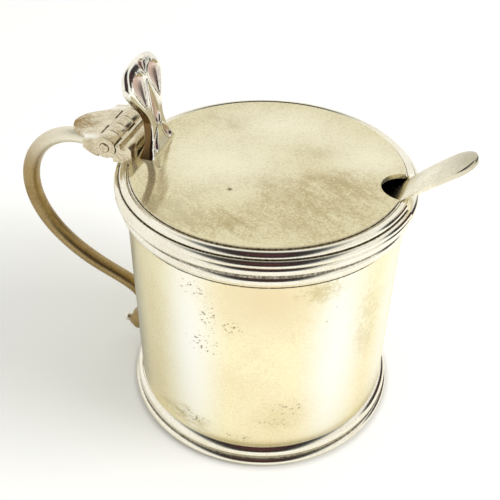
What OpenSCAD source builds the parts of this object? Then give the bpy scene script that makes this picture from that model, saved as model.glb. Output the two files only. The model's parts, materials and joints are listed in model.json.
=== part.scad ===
// Drum mustard pot in silver: a cylinder with reeded mouldings at the foot and the mouth,
// a flat hinged lid with a notch for the spoon, a cast thumbpiece, an ear-shaped handle,
// a glass liner and a flat-stemmed spoon. Millimetres, +Z up. The origin is the centre of
// the ring that the pot stands on. The hinge and handle are on -X, the notch is on +X.

/* [Drum] */
// Outer diameter of the drum wall
drum_d = 56; // [46:0.5:68]
// Height of the pot from the table to the top of its rim, without the lid
pot_h = 54; // [46:0.1:62]
// Thickness of the drum wall
wall_t = 0.7; // [0.5:0.05:1.2]
// Thickness of the base plate
base_t = 0.8; // [0.6:0.1:2]
// Height of the base plate's underside above the table
base_lift = 3; // [1.5:0.1:5]

/* [Mouldings] */
// How far the mouldings' flat band stands out from the wall
band_t = 0.8; // [0.5:0.05:0.9]
// Radius of the cove between a moulding and the wall
cove_r = 0.5; // [0.3:0.05:0.5]
// Radius of the reed that stands on the table
foot_reed_r = 0.9; // [0.7:0.05:1]
// Radius of the reed above it
foot_upper_r = 1.15; // [0.9:0.05:1.3]
// Width of the sunk line between the foot's reeds
foot_line = 0.25; // [0.1:0.05:0.5]
// How far the foot's lower reed stands out from the wall
foot_proud = 2.05; // [1.7:0.05:2.3]
// How far the foot's upper reed stands out from the wall
foot_upper_proud = 1.8; // [1.3:0.05:2]
// Radius of the reed at the mouth
rim_reed_r = 1.05; // [0.9:0.05:1.3]
// Radius of the reed below it
rim_lower_r = 1.1; // [0.8:0.05:1.2]
// Width of the sunk line between the rim's reeds
rim_line = 0.75; // [0.3:0.05:0.9]
// How far the rim's upper reed stands out from the wall
rim_proud = 2; // [1.8:0.05:2.4]
// How far the rim's lower reed stands out from the wall
rim_lower_proud = 1.2; // [1:0.05:1.4]

/* [Lid] */
// Thickness of the lid plate
lid_t = 1; // [0.8:0.1:1.4]
// Width of the reeded border of the lid
border_w = 3.15; // [2.9:0.05:3.6]
// Height of the border
border_h = 2; // [1.8:0.1:2.4]
// Radius of the border's outer bead
bead_r = 0.75; // [0.6:0.05:0.85]
// Radius of the border's inner reed
border_reed_r = 0.5; // [0.35:0.05:0.55]
// Width of the sunk line round the lid plate
border_line = 0.2; // [0.1:0.05:0.3]
// Gap between the closed lid and the rim
lid_gap = 0.15; // [0.1:0.05:0.4]
// Room on each side of the spoon's stem in the notch
notch_play = 1.05; // [0.5:0.05:1.5]
// Depth of the notch, in from the lid's edge
notch_depth = 7.5; // [6:0.1:9]
// Widening of the notch on each side where it opens at the lid's edge
notch_flare = 1.85; // [1:0.05:2.5]

/* [Hinge] */
// Outer diameter of the knuckles
barrel_d = 4.5; // [4:0.1:5]
// Diameter of the hinge pin
pin_d = 1.9; // [1.4:0.1:2.4]
// Radial play of the lid's knuckles on the pin
pin_play = 0.04; // [0.02:0.01:0.08]
// How far the pin's ends stand out of the knuckles
pin_proud = 0.15; // [0.05:0.05:0.4]
// Length of the row of five knuckles
hinge_len = 16.4; // [15:0.2:19]
// Gap between neighbouring knuckles
knuckle_gap = 0.12; // [0.08:0.02:0.3]
// Distance from the lid's edge out to the hinge axis
hinge_out = 0.8; // [0.6:0.1:1.6]
// Clear height between the lid and the barrel
barrel_lift = 0.2; // [0.15:0.05:0.6]
// Clearance of a leaf round the knuckles that turn past it
leaf_play = 0.3; // [0.2:0.05:0.5]
// Reach of the lid's leaf from the hinge axis
leaf_reach = 5.7; // [5.4:0.1:7]
// Width of the rail on the leaf, beside the barrel
rail_w = 0.6; // [0.4:0.1:0.9]
// Height of that rail above the hinge axis
rail_h = 0.95; // [0.6:0.05:1.1]
// Height of the leaf's back above the hinge axis
leaf_h = 1.5; // [1.2:0.1:1.8]
// Width of the sunk line along the rail
rail_line = 0.3; // [0.2:0.05:0.4]
// Reach of the fan-shaped bracket from the hinge axis
fan_reach = 10.2; // [9:0.1:12]
// Thickness of the bracket at its outer end
fan_t = 2.8; // [2:0.1:3.4]
// Radius of the bracket's round outer end
fan_end_r = 5.2; // [4.6:0.1:5.8]
// Reach of the bracket's full width from the hinge axis
fan_shoulder = 4.6; // [4.2:0.1:5.2]

/* [Thumbpiece] */
// Height of the thumbpiece above the lid
thumb_h = 18; // [14:0.1:22]
// Thickness of the thumbpiece
thumb_t = 2; // [1.6:0.1:2.6]
// Distance from the leaf to the back of the thumbpiece, bridged by its heel
thumb_gap = 1.5; // [0.8:0.1:2.5]
// Height of the heel
heel_h = 2.6; // [1.6:0.1:3.2]
// Width of its foot on the lid
thumb_foot_w = 12; // [10:0.5:14]
// Width of its waist
thumb_waist_w = 6.8; // [6:0.2:9]
// Height of its waist above the lid
thumb_waist_h = 5.4; // [4:0.1:7]
// Width of its fan
thumb_fan_w = 15.2; // [11:0.2:17]
// Height of the fan's widest place above the lid
thumb_fan_h = 14; // [12:0.1:16]
// How far the fan leans back over the hinge
thumb_lean = 3.2; // [1.5:0.1:4]
// Depth of the sunk flutes in its face
flute_depth = 0.55; // [0.2:0.05:0.7]

/* [Handle] */
// How far the middle of the bar stands out from the drum wall
handle_reach = 26; // [22:0.1:32]
// Distance from the wall at which the bar begins to run straight down to it
run_out = 14.6; // [12:0.1:18]
// Height at which the bar begins to run straight down to the wall
run_h = 22.9; // [20:0.1:27]
// Slope of that straight run
run_slope = 33; // [26:1:40]
// Height at which the bar meets the drum wall
handle_foot_h = 12.7; // [11.5:0.1:15]
// Thickness of the bar at its fullest
handle_t = 3.5; // [3:0.1:4]
// Width of the bar at its fullest
handle_w = 3.8; // [3.2:0.1:4.6]
// Depth by which the bracket is let into the bar
seat_depth = 0.7; // [0.3:0.1:1]
// How far the middle of the tail's bud stands out from the wall
tail_out = 5.4; // [4.6:0.1:7]
// Height of the middle of the bud
tail_h = 4.8; // [3:0.1:6]
// Diameter of the bud
bud_d = 3.4; // [2.6:0.1:3.8]

/* [Liner] */
// Thickness of the liner's wall
liner_t = 1.6; // [1.2:0.1:2]
// Thickness of the liner's floor
liner_floor_t = 2.2; // [1.4:0.1:3]
// Gap between the liner and the drum wall
liner_play = 0.25; // [0.15:0.05:0.5]
// Depth of the liner's edge below the rim of the pot
liner_drop = 3.2; // [2.6:0.1:5]

/* [Spoon] */
// Angle of the stem to the table inside the pot
spoon_lean = 50; // [49:1:56]
// Angle of the stem to the table at its end
stem_end_lean = 31; // [26:1:40]
// Length of the stem above the rim
stem_out = 16.3; // [12:0.1:24]
// Width of the stem in the notch
stem_w = 7.4; // [6:0.1:7.8]
// Width of the stem's neck above the bowl
neck_w = 4.4; // [3.5:0.1:6]
// Thickness of the stem
stem_t = 1.2; // [0.9:0.1:1.4]
// Length of the stem's rounded end
stem_end_len = 5; // [3:0.1:7]
// Length of the bowl
bowl_len = 20; // [16:0.5:22]
// Width of the bowl
bowl_w = 14; // [11:0.5:16]
// Depth of the bowl
bowl_depth = 3.2; // [1.5:0.1:4]
// Clearance between the spoon and what it leans on
spoon_play = 0.25; // [0.15:0.05:0.5]

/* [Hidden] */
$fn = 96;
// Number of facets on a wide, shallow cove
cove_facets = 360;
// Number of steps in an arc of an outline
arc_steps = 16;

// Amount by which a cutting shape overshoots what it cuts
over = 1;

// Radii and heights of the drum and the lid
drum_r = drum_d / 2;
inner_r = drum_r - wall_t;
rim_r = drum_r + rim_proud;
base_top = base_lift + base_t;
lid_bottom = pot_h + lid_gap;
lid_top = lid_bottom + border_h;
lid_r = rim_r;
lid_plate_r = lid_r - border_w;
notch_w = stem_w + 2 * notch_play;
notch_mouth = notch_w + 2 * notch_flare;
notch_in = lid_r - notch_depth;

// Hinge axis, which runs along Y
barrel_r = barrel_d / 2;
hinge_x = -(lid_r + hinge_out);
hinge_z = lid_top + barrel_lift + barrel_r;
knuckle_pitch = hinge_len / 5;
fixed_slots = [0, 2, 4];
lid_slots = [1, 3];
bracket_under = hinge_z - barrel_r;

// Share of a round end that is kept short of a point, on the thumbpiece and the spoon's stem
crown_share = 0.93;
// Share of the full thickness that the eased edges of the thumbpiece and the spoon have
edge_share = 0.45;

// Foot of the thumbpiece, which stands in front of the lid's leaf, and the control points of its
// middle line as shares of its lean: upright at the foot, furthest back below the top
thumb_x = hinge_x + leaf_reach + thumb_gap + thumb_t / 2;
lean_shares = [0, 0, -1.4, -0.85];
thumb_rows = 40;
thumb_columns = 28;

// Bar of the handle: its fullest radii, its share of them under the bracket and at the tail's
// neck, and the roundness of its section, where 2 is an ellipse and more is squarer
bar_up = handle_t / 2;
bar_side = handle_w / 2;
seat_share = 0.9;
run_share = 0.8;
neck_share = 0.5;
bar_squareness = 2.6;
bar_steps = 16;
bar_sides = 20;

// Liner
liner_floor_z = base_top + liner_floor_t;
liner_r = inner_r - liner_play;
liner_in_r = liner_r - liner_t;

// Spoon: the edges of its stem lean on the mouth of the drum or on the liner, whichever they meet
// first. That gives the point where the stem passes the rim.
stem_half = stem_t / 2;
wall_at_stem = sqrt(inner_r * inner_r - stem_w * stem_w / 4) - (stem_half + spoon_play) / sin(spoon_lean);
liner_at_stem = sqrt(liner_in_r * liner_in_r - stem_w * stem_w / 4)
  + liner_drop / tan(spoon_lean) - (stem_half + spoon_play) / sin(spoon_lean);
stem_rim = [min(wall_at_stem, liner_at_stem), pot_h];
stem_down = [-cos(spoon_lean), -sin(spoon_lean)];
bowl_tip_z = liner_floor_z + spoon_play + bowl_depth / 2;
inner_len = (stem_rim[1] - bowl_tip_z) / sin(spoon_lean);
spoon_len = inner_len + stem_out;
spoon_rows = 64;
spoon_columns = 12;

silver = [0.80, 0.77, 0.68];
worn_silver = [0.72, 0.67, 0.55];
bright_silver = [0.88, 0.86, 0.80];
blue_glass = [0.08, 0.12, 0.45, 0.6];

// Point and direction on a cubic curve with four control points
function curve(p, t) =
  p[0] * pow(1 - t, 3) + p[1] * 3 * t * pow(1 - t, 2) + p[2] * 3 * t * t * (1 - t) + p[3] * pow(t, 3);
function curve_slope(p, t) =
  (p[1] - p[0]) * pow(1 - t, 2) + (p[2] - p[1]) * 2 * t * (1 - t) + (p[3] - p[2]) * t * t;
function unit(v) = v / norm(v);
function smooth_step(t) = let (c = min(max(t, 0), 1)) c * c * (3 - 2 * c);
function mix(a, b, t) = a + (b - a) * t;

// Closed solid through rings of equally many points. The first half of a ring is its upper
// side from one edge to the other, and the second half comes back along the lower side.
module skin(rings) {
  count = len(rings[0]);
  half = count / 2;
  last = (len(rings) - 1) * count;
  sides = [
    for (row = [0 : len(rings) - 2], i = [0 : count - 1])
      let (a = row * count + i, b = row * count + (i + 1) % count)
        each [[a, b, b + count], [a, b + count, a + count]]
  ];
  start_cap = [
    for (i = [0 : half - 2])
      each [[i, count - 1 - i, i + 1], [i + 1, count - 1 - i, count - 2 - i]]
  ];
  end_cap = [for (f = start_cap) [last + f[0], last + f[2], last + f[1]]];
  polyhedron([for (ring = rings) each ring], concat(sides, start_cap, end_cap));
}

// Outline of a disc's half section with its lower outer corner rounded
module rounded_cup_outline(radius, height, corner) {
  square([radius - corner, height]);
  translate([0, corner])
    square([radius, height - corner]);
  translate([radius - corner, corner])
    circle(corner);
}

// Half section of a moulding against the drum wall: a band that carries an edge reed and a
// second reed with a sunk line between them, and a cove that runs out on the wall. The edge
// reed starts at height 0.
module moulding_outline(edge_r, second_r, line, edge_proud, second_proud) {
  second_z = 2 * edge_r + line + second_r;
  band_h = second_z + second_r;
  difference() {
    union() {
      translate([drum_r, 0])
        square([band_t, band_h]);
      translate([drum_r, 0])
        square([edge_proud - edge_r, 2 * edge_r]);
      translate([drum_r + edge_proud - edge_r, edge_r])
        circle(edge_r);
      translate([drum_r + second_proud - second_r, second_z])
        circle(second_r);
      translate([drum_r, band_h])
        square([cove_r, cove_r]);
    }
    translate([drum_r + cove_r, band_h + cove_r])
      circle(cove_r);
    square([drum_r, band_h + over]);
  }
}

module rim_outline() {
  translate([0, pot_h])
    mirror([0, 1])
      moulding_outline(rim_reed_r, rim_lower_r, rim_line, rim_proud, rim_lower_proud);
}

module drum_wall() {
  color(silver)
    difference() {
      cylinder(h = pot_h, r = drum_r);
      translate([0, 0, -over])
        cylinder(h = pot_h + 2 * over, r = inner_r);
    }
}

module base_plate() {
  color(worn_silver)
    translate([0, 0, base_lift])
      cylinder(h = base_t, r = inner_r);
}

module foot_moulding() {
  color(silver)
    rotate_extrude()
      moulding_outline(foot_reed_r, foot_upper_r, foot_line, foot_proud, foot_upper_proud);
}

module rim_moulding() {
  color(silver)
    rotate_extrude()
      rim_outline();
}

module glass_liner() {
  outer_corner = 2 * liner_t;
  liner_h = pot_h - liner_drop - base_top;
  color(blue_glass)
    translate([0, 0, base_top])
      rotate_extrude()
        difference() {
          rounded_cup_outline(liner_r, liner_h, outer_corner);
          translate([0, liner_floor_t])
            rounded_cup_outline(liner_in_r, liner_h, outer_corner - liner_t / 2);
        }
}

// Middle line of the handle's bar, as points [distance from the pot's axis, height]
rim_end = [rim_r - rim_reed_r, pot_h - bar_up - lid_gap];
seat_end = [-hinge_x + fan_reach, bracket_under + seat_depth - bar_up * seat_share];
run_start = [drum_r + run_out, run_h];
wall_end = [drum_r + bar_up * run_share, handle_foot_h];
tail_end = [drum_r + tail_out, tail_h];
run_dir = [-cos(run_slope), -sin(run_slope)];

// Lengths over which the bar keeps its direction as it leaves the ends of those stretches.
// The pull at the start of the run is the one that takes the ear out to its full reach.
rise_pull = rim_proud * 2;
seat_pull = fan_reach * 2 / 3;
top_pull = handle_reach / 2;
run_pull = handle_reach * 0.3;
wall_pull = handle_foot_h * 0.4;
tail_pull = tail_out / 2;
ear_turn_x = (8 * (drum_r + handle_reach) - 4 * seat_end[0] - 3 * top_pull - run_start[0]) / 3;
ear_pull = (ear_turn_x - run_start[0]) / cos(run_slope);

bar_curves = [
  // from the rim, out under the bracket
  [rim_end, rim_end + [rise_pull, 0], seat_end - [seat_pull, 0], seat_end],
  // round the ear
  [seat_end, seat_end + [top_pull, 0], run_start - run_dir * ear_pull, run_start],
  // down to the wall
  [run_start, run_start + run_dir * run_pull, wall_end + [0, wall_pull], wall_end],
  // the tail, turned out
  [wall_end, wall_end - [0, tail_pull], tail_end - unit([tail_out, -tail_h]) * tail_pull, tail_end]
];

// Share of its full thickness that the bar has along its length, from the rim to the bud
function bar_share(s) =
  lookup(s, [
    [0, seat_share],
    [1, seat_share],
    [1.5, 1],
    [2.3, seat_share],
    [3, run_share],
    [3.5, neck_share]
  ]);

// Cosine or sine drawn out towards a square
function squared(c) = sign(c) * pow(abs(c), 2 / bar_squareness);

function bar_ring(s) =
  let (
    part = min(floor(s), len(bar_curves) - 1),
    centre = curve(bar_curves[part], s - part),
    along = unit(curve_slope(bar_curves[part], s - part)),
    share = bar_share(s)
  )
  [
    for (i = [0 : bar_sides - 1])
      let (
        angle = (i + 0.5) * 360 / bar_sides,
        off = centre + [-along[1], along[0]] * bar_up * share * squared(sin(angle))
      )
      [-off[0], bar_side * share * squared(cos(angle)), off[1]]
  ];

module handle() {
  color(worn_silver)
    difference() {
      union() {
        skin([for (i = [0 : len(bar_curves) * bar_steps]) bar_ring(i / bar_steps)]);
        translate([-tail_end[0], 0, tail_end[1]])
          sphere(bud_d / 2);
      }
      rotate_extrude()
        rim_outline();
      cylinder(h = pot_h, r = drum_r);
      at_hinge()
        translate([0, 0, -barrel_r])
          linear_extrude(handle_t)
            fan_outline();
    }
}

// Hinge parts are drawn about the hinge axis and moved to it
module at_hinge() {
  translate([hinge_x, 0, hinge_z])
    children();
}

// Cylinder along the hinge axis
module rod(radius, length) {
  rotate([90, 0, 0])
    cylinder(h = length, r = radius, center = true);
}

function knuckle_y(slot) = (slot - 2) * knuckle_pitch;

module knuckle(slot, bore_r) {
  at_hinge()
    translate([0, knuckle_y(slot), 0])
      difference() {
        rod(barrel_r, knuckle_pitch - knuckle_gap);
        rod(bore_r, knuckle_pitch + over);
      }
}

// Space that the knuckles in the given slots need in the leaf beside them
module knuckle_room(slots, play) {
  for (slot = slots)
    translate([0, knuckle_y(slot), 0])
      rod(barrel_r + play, knuckle_pitch + knuckle_gap);
}

// Points along an arc from one angle to another
function arc_points(centre, radius, from, to) =
  [
    for (i = [0 : arc_steps])
      let (angle = mix(from, to, i / arc_steps))
        centre + radius * [cos(angle), sin(angle)]
  ];

// Plan of the bracket: full width at the barrel, drawn in by two hollow flares that run tangent
// into a round end
module fan_outline() {
  half_len = hinge_len / 2;
  end_x = fan_reach - fan_end_r;
  reach_back = fan_shoulder - end_x;
  flare_r = (reach_back * reach_back + half_len * half_len - fan_end_r * fan_end_r)
    / (2 * (fan_end_r - reach_back));
  flare_x = fan_shoulder + flare_r;
  turn = atan2(half_len, flare_x - end_x);
  polygon(concat(
    [[0, -half_len], [0, half_len]],
    arc_points([-flare_x, half_len], flare_r, 0, -turn),
    arc_points([-end_x, 0], fan_end_r, 180 - turn, 180 + turn),
    arc_points([-flare_x, -half_len], flare_r, turn, 0)
  ));
}

// The bracket is a wedge whose top is coved between its thin end and the barrel, which it meets
// at the given angle above the hinge axis
module hinge_bracket() {
  meet_angle = 38;
  nose = barrel_r * sin(45);
  cove_run = fan_reach + over - barrel_r * cos(meet_angle);
  cove_rise = barrel_r * sin(meet_angle) + barrel_r - fan_t;
  top_cove_r = (cove_run * cove_run + cove_rise * cove_rise) / (2 * cove_rise);
  color(worn_silver)
    at_hinge()
      difference() {
        translate([0, 0, -barrel_r])
          linear_extrude(barrel_d)
            fan_outline();
        translate([-fan_reach - over, 0, fan_t - barrel_r + top_cove_r])
          rod(top_cove_r, hinge_len + over, $fn = cove_facets);
        translate([-nose, -hinge_len, -2 * barrel_r])
          cube([2 * nose, 2 * hinge_len, 4 * barrel_r]);
        knuckle_room(fixed_slots, 0);
        knuckle_room(lid_slots, leaf_play);
      }
}

module hinge_pin() {
  color(bright_silver)
    at_hinge()
      rod(pin_d / 2, hinge_len + 2 * pin_proud);
}

module fixed_knuckle_near() {
  color(worn_silver)
    knuckle(fixed_slots[0], pin_d / 2);
}

module fixed_knuckle_middle() {
  color(worn_silver)
    knuckle(fixed_slots[1], pin_d / 2);
}

module fixed_knuckle_far() {
  color(worn_silver)
    knuckle(fixed_slots[2], pin_d / 2);
}

module lid_knuckle_near() {
  color(silver)
    knuckle(lid_slots[0], pin_d / 2 + pin_play);
}

module lid_knuckle_far() {
  color(silver)
    knuckle(lid_slots[1], pin_d / 2 + pin_play);
}

// Plan of the notch: a round inner end, straight sides and a flared mouth
module notch_outline() {
  half_w = notch_w / 2;
  flare_in = lid_plate_r;
  translate([notch_in + half_w, 0])
    circle(half_w);
  translate([notch_in + half_w, -half_w])
    square([notch_depth, notch_w]);
  polygon([
    [flare_in, -half_w],
    [lid_r, -notch_mouth / 2],
    [lid_r + over, -notch_mouth / 2],
    [lid_r + over, notch_mouth / 2],
    [lid_r, notch_mouth / 2],
    [flare_in, half_w]
  ]);
}

module notch_cut() {
  translate([0, 0, lid_bottom - over])
    linear_extrude(lid_top - lid_bottom + 2 * over)
      notch_outline();
}

module lid_plate() {
  color(silver)
    difference() {
      translate([0, 0, lid_top - lid_t])
        cylinder(h = lid_t, r = lid_plate_r);
      notch_cut();
    }
}

// The border is a band that carries an inner reed and an outer bead
module lid_border() {
  band_w = border_w - bead_r;
  band_h = border_h - border_reed_r;
  color(bright_silver)
    difference() {
      translate([0, 0, lid_bottom])
        rotate_extrude() {
          translate([lid_plate_r, 0])
            square([band_w, band_h]);
          translate([lid_plate_r + border_line + border_reed_r, band_h])
            circle(border_reed_r);
          translate([lid_r - 2 * bead_r, bead_r])
            square([2 * bead_r, border_h - 2 * bead_r]);
          for (z = [bead_r, border_h - bead_r])
            translate([lid_r - bead_r, z])
              circle(bead_r);
        }
      notch_cut();
    }
}

// Section of the lid's leaf about the hinge axis: a low rail beside the barrel, a sunk line,
// and a back that is rounded towards the thumbpiece
module leaf_outline() {
  foot = lid_top - hinge_z;
  rail_in = barrel_r * cos(45);
  rail_out = barrel_r + leaf_play + rail_w;
  back_x = leaf_reach - leaf_h;
  difference() {
    union() {
      translate([rail_in, foot])
        square([leaf_reach - rail_in, -foot]);
      translate([rail_in, -over])
        square([back_x - rail_in, rail_h + over]);
      translate([rail_out, -over])
        square([back_x - rail_out, leaf_h + over]);
      intersection() {
        translate([back_x, 0])
          circle(leaf_h);
        translate([back_x - over, 0])
          square([leaf_h + 2 * over, leaf_h + over]);
      }
    }
    translate([rail_out, rail_h])
      circle(rail_line);
  }
}

module lid_leaf() {
  color(silver)
    at_hinge()
      difference() {
        rotate([90, 0, 0])
          linear_extrude(hinge_len, center = true)
            leaf_outline();
        knuckle_room(lid_slots, 0);
        knuckle_room(fixed_slots, leaf_play);
      }
}

// Thumbpiece: each row is level, z is its height above the lid and u runs across it from -1 to 1
function thumb_half_w(z) =
  let (
    foot = (thumb_foot_w - thumb_waist_w) / 2 * pow(max(0, 1 - z / thumb_waist_h), 2),
    rise = smooth_step((z - thumb_waist_h) / (thumb_fan_h - thumb_waist_h)),
    fan = (thumb_fan_w - thumb_waist_w) / 2 * rise,
    top = max(0, z - thumb_fan_h) / (thumb_h - thumb_fan_h)
  )
  (thumb_waist_w / 2 + foot + fan) * sqrt(1 - crown_share * top * top);

// The middle leans back from the foot and straightens towards the top
function thumb_mid_x(z) = curve(lean_shares * thumb_lean, z / thumb_h);

// A flute is a sunk lens in the face: [place across, height, half width across, half height, lean],
// with heights and places as shares of the thumbpiece. One rises from the waist, a pair spreads
// in the fan and a round one is at the crown.
flutes = [
  [0, 0.5, 0.2, 0.22, 0],
  [0.5, 0.72, 0.25, 0.2, 0.6],
  [-0.5, 0.72, 0.25, 0.2, -0.6],
  [0, 0.91, 0.24, 0.07, 0]
];

function flute_sink(u, v, flute) =
  let (
    up = v - flute[1],
    across = (u - flute[0] - flute[4] * up) / flute[2]
  )
  sqrt(max(0, 1 - across * across - pow(up / flute[3], 2)));

function thumb_sink(u, z) = flute_depth * max([for (flute = flutes) flute_sink(u, z / thumb_h, flute)]);

// Share of the full thickness at a place across a piece with eased edges
function eased(u) = mix(edge_share, 1, sqrt(max(0, 1 - pow(u, 4))));

function thumb_ring(z) =
  let (
    half_w = thumb_half_w(z),
    mid = thumb_x + thumb_mid_x(z),
    heel = thumb_gap * (1 - smooth_step(z / heel_h))
  )
  [
    for (i = [0 : thumb_columns])
      let (u = 1 - 2 * i / thumb_columns)
        [mid + thumb_t / 2 * eased(u) - thumb_sink(u, z), half_w * u, lid_top + z],
    for (i = [thumb_columns : -1 : 0])
      let (u = 1 - 2 * i / thumb_columns)
        [mid - thumb_t / 2 * eased(u) - heel, half_w * u, lid_top + z]
  ];

module thumbpiece() {
  color(bright_silver)
    skin([for (i = [0 : thumb_rows]) thumb_ring(thumb_h * i / thumb_rows)]);
}

// Spoon: s is the distance along its middle line from the bowl's tip to the stem's end
function spoon_heading(s) =
  s < inner_len ? spoon_lean : mix(spoon_lean, stem_end_lean, (s - inner_len) / stem_out);

// The stem above the rim is an arc, so its points follow from the change of heading
function spoon_mid(s) =
  s <= inner_len
    ? stem_rim + stem_down * (inner_len - s)
    : let (
        heading = spoon_heading(s),
        arc_r = stem_out / (spoon_lean - stem_end_lean) * 180 / PI
      )
      stem_rim + arc_r * [sin(spoon_lean) - sin(heading), cos(heading) - cos(spoon_lean)];

function spoon_half_w(s) =
  let (
    bowl = bowl_w / 2 * sqrt(max(0, 1 - pow(s / bowl_len * 2 - 1, 2))),
    stem = mix(neck_w, stem_w, smooth_step((s - bowl_len) / (inner_len - bowl_len))) / 2,
    end = sqrt(1 - crown_share * pow(max(0, s - spoon_len + stem_end_len) / stem_end_len, 2)),
    stem_on = smooth_step((s - bowl_len / 2) / (bowl_len / 2))
  )
  norm([bowl, stem * end * stem_on]);

function spoon_dish(s) =
  bowl_depth * sqrt(max(0, 1 - pow(s / bowl_len * 2 - 1, 2)));

function spoon_ring(s) =
  let (
    mid = spoon_mid(s),
    heading = spoon_heading(s),
    up = [-sin(heading), cos(heading)],
    half_w = spoon_half_w(s),
    point = function (u, side)
      let (
        lift = side * stem_half * eased(u) - spoon_dish(s) * (1 - u * u),
        place = mid + up * lift
      )
      [place[0], half_w * u, place[1]]
  )
  [
    for (i = [0 : spoon_columns])
      point(2 * i / spoon_columns - 1, 1),
    for (i = [spoon_columns : -1 : 0])
      point(2 * i / spoon_columns - 1, -1)
  ];

module spoon() {
  tip_start = 0.01;
  color(bright_silver)
    skin([for (i = [0 : spoon_rows]) spoon_ring(spoon_len * mix(tip_start, 1, i / spoon_rows))]);
}

drum_wall();
base_plate();
foot_moulding();
rim_moulding();
glass_liner();
handle();
hinge_bracket();
hinge_pin();
fixed_knuckle_near();
fixed_knuckle_middle();
fixed_knuckle_far();
lid_plate();
lid_border();
lid_leaf();
lid_knuckle_near();
lid_knuckle_far();
thumbpiece();
spoon();
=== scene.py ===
# %% [markdown]
# # A drum mustard pot in silver
# The pot is a short drum of silver sheet with reeded wire soldered round its foot and its mouth.
# A flat lid swings on a hinge of five knuckles, a cast thumbpiece opens it, and a spoon leans out
# of a notch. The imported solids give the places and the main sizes. Their round faces are made of
# flat facets, which polished metal would show, so each piece is modelled again in its place with
# finer curves, softer edges and its small carving.

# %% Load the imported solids
import json
import math

import bmesh
import bpy
from mathutils import Matrix, Vector


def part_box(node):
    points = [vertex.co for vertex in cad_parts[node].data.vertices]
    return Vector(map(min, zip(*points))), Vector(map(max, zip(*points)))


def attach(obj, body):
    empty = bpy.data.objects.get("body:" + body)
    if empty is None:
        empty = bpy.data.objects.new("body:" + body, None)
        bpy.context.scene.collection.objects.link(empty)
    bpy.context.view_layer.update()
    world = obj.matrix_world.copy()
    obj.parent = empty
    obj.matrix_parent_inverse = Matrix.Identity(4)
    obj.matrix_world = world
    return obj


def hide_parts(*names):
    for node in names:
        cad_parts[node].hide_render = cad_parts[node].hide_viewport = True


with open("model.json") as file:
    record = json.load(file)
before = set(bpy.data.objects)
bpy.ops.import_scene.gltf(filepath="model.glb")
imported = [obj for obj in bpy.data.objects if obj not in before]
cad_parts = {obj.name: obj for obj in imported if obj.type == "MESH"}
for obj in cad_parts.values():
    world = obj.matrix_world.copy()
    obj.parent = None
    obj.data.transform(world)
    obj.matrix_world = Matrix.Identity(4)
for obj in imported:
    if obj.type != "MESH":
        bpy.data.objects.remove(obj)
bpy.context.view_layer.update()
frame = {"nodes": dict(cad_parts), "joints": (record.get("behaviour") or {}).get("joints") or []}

print("solids:", len(frame["nodes"]))

# %% [markdown]
# ## Sizes
# Blender works in metres, and the pot is a few centimetres high, so sizes are written as
# millimetres times mm. A size that a solid shows is read from the box round that solid.

# %% Read the main sizes
mm = 0.001
UP = Vector((0, 0, 1))


def lowest(node):
    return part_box(node)[0]


def highest(node):
    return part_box(node)[1]


joints = {joint["name"]: joint for joint in frame["joints"]}
hinge = Vector(joints["lid_hinge"]["pos_m"])
drum_r = highest("drum_wall").x
pot_h = highest("drum_wall").z
base_under = lowest("base_plate").z
base_top = highest("base_plate").z
inner_r = highest("base_plate").x
lid_r = highest("lid_border").y
lid_under = lowest("lid_border").z
lid_top = highest("lid_plate").z
plate_under = lowest("lid_plate").z
plate_r = highest("lid_plate").y
print("drum %.1f mm wide and %.1f mm high" % (drum_r * 2 / mm, pot_h / mm))
print("lid %.1f mm wide, its top at %.2f mm" % (lid_r * 2 / mm, lid_top / mm))

# %% [markdown]
# ## Sums on sockets
# A material is a graph of nodes, and a formula in it becomes many Math nodes. One small class wraps
# a socket, so that a formula can be written as a formula: adding two wires adds a Math node. Its
# method node() makes any other kind of node from its settings and its inputs.

# %% A wire in a node graph


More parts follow.
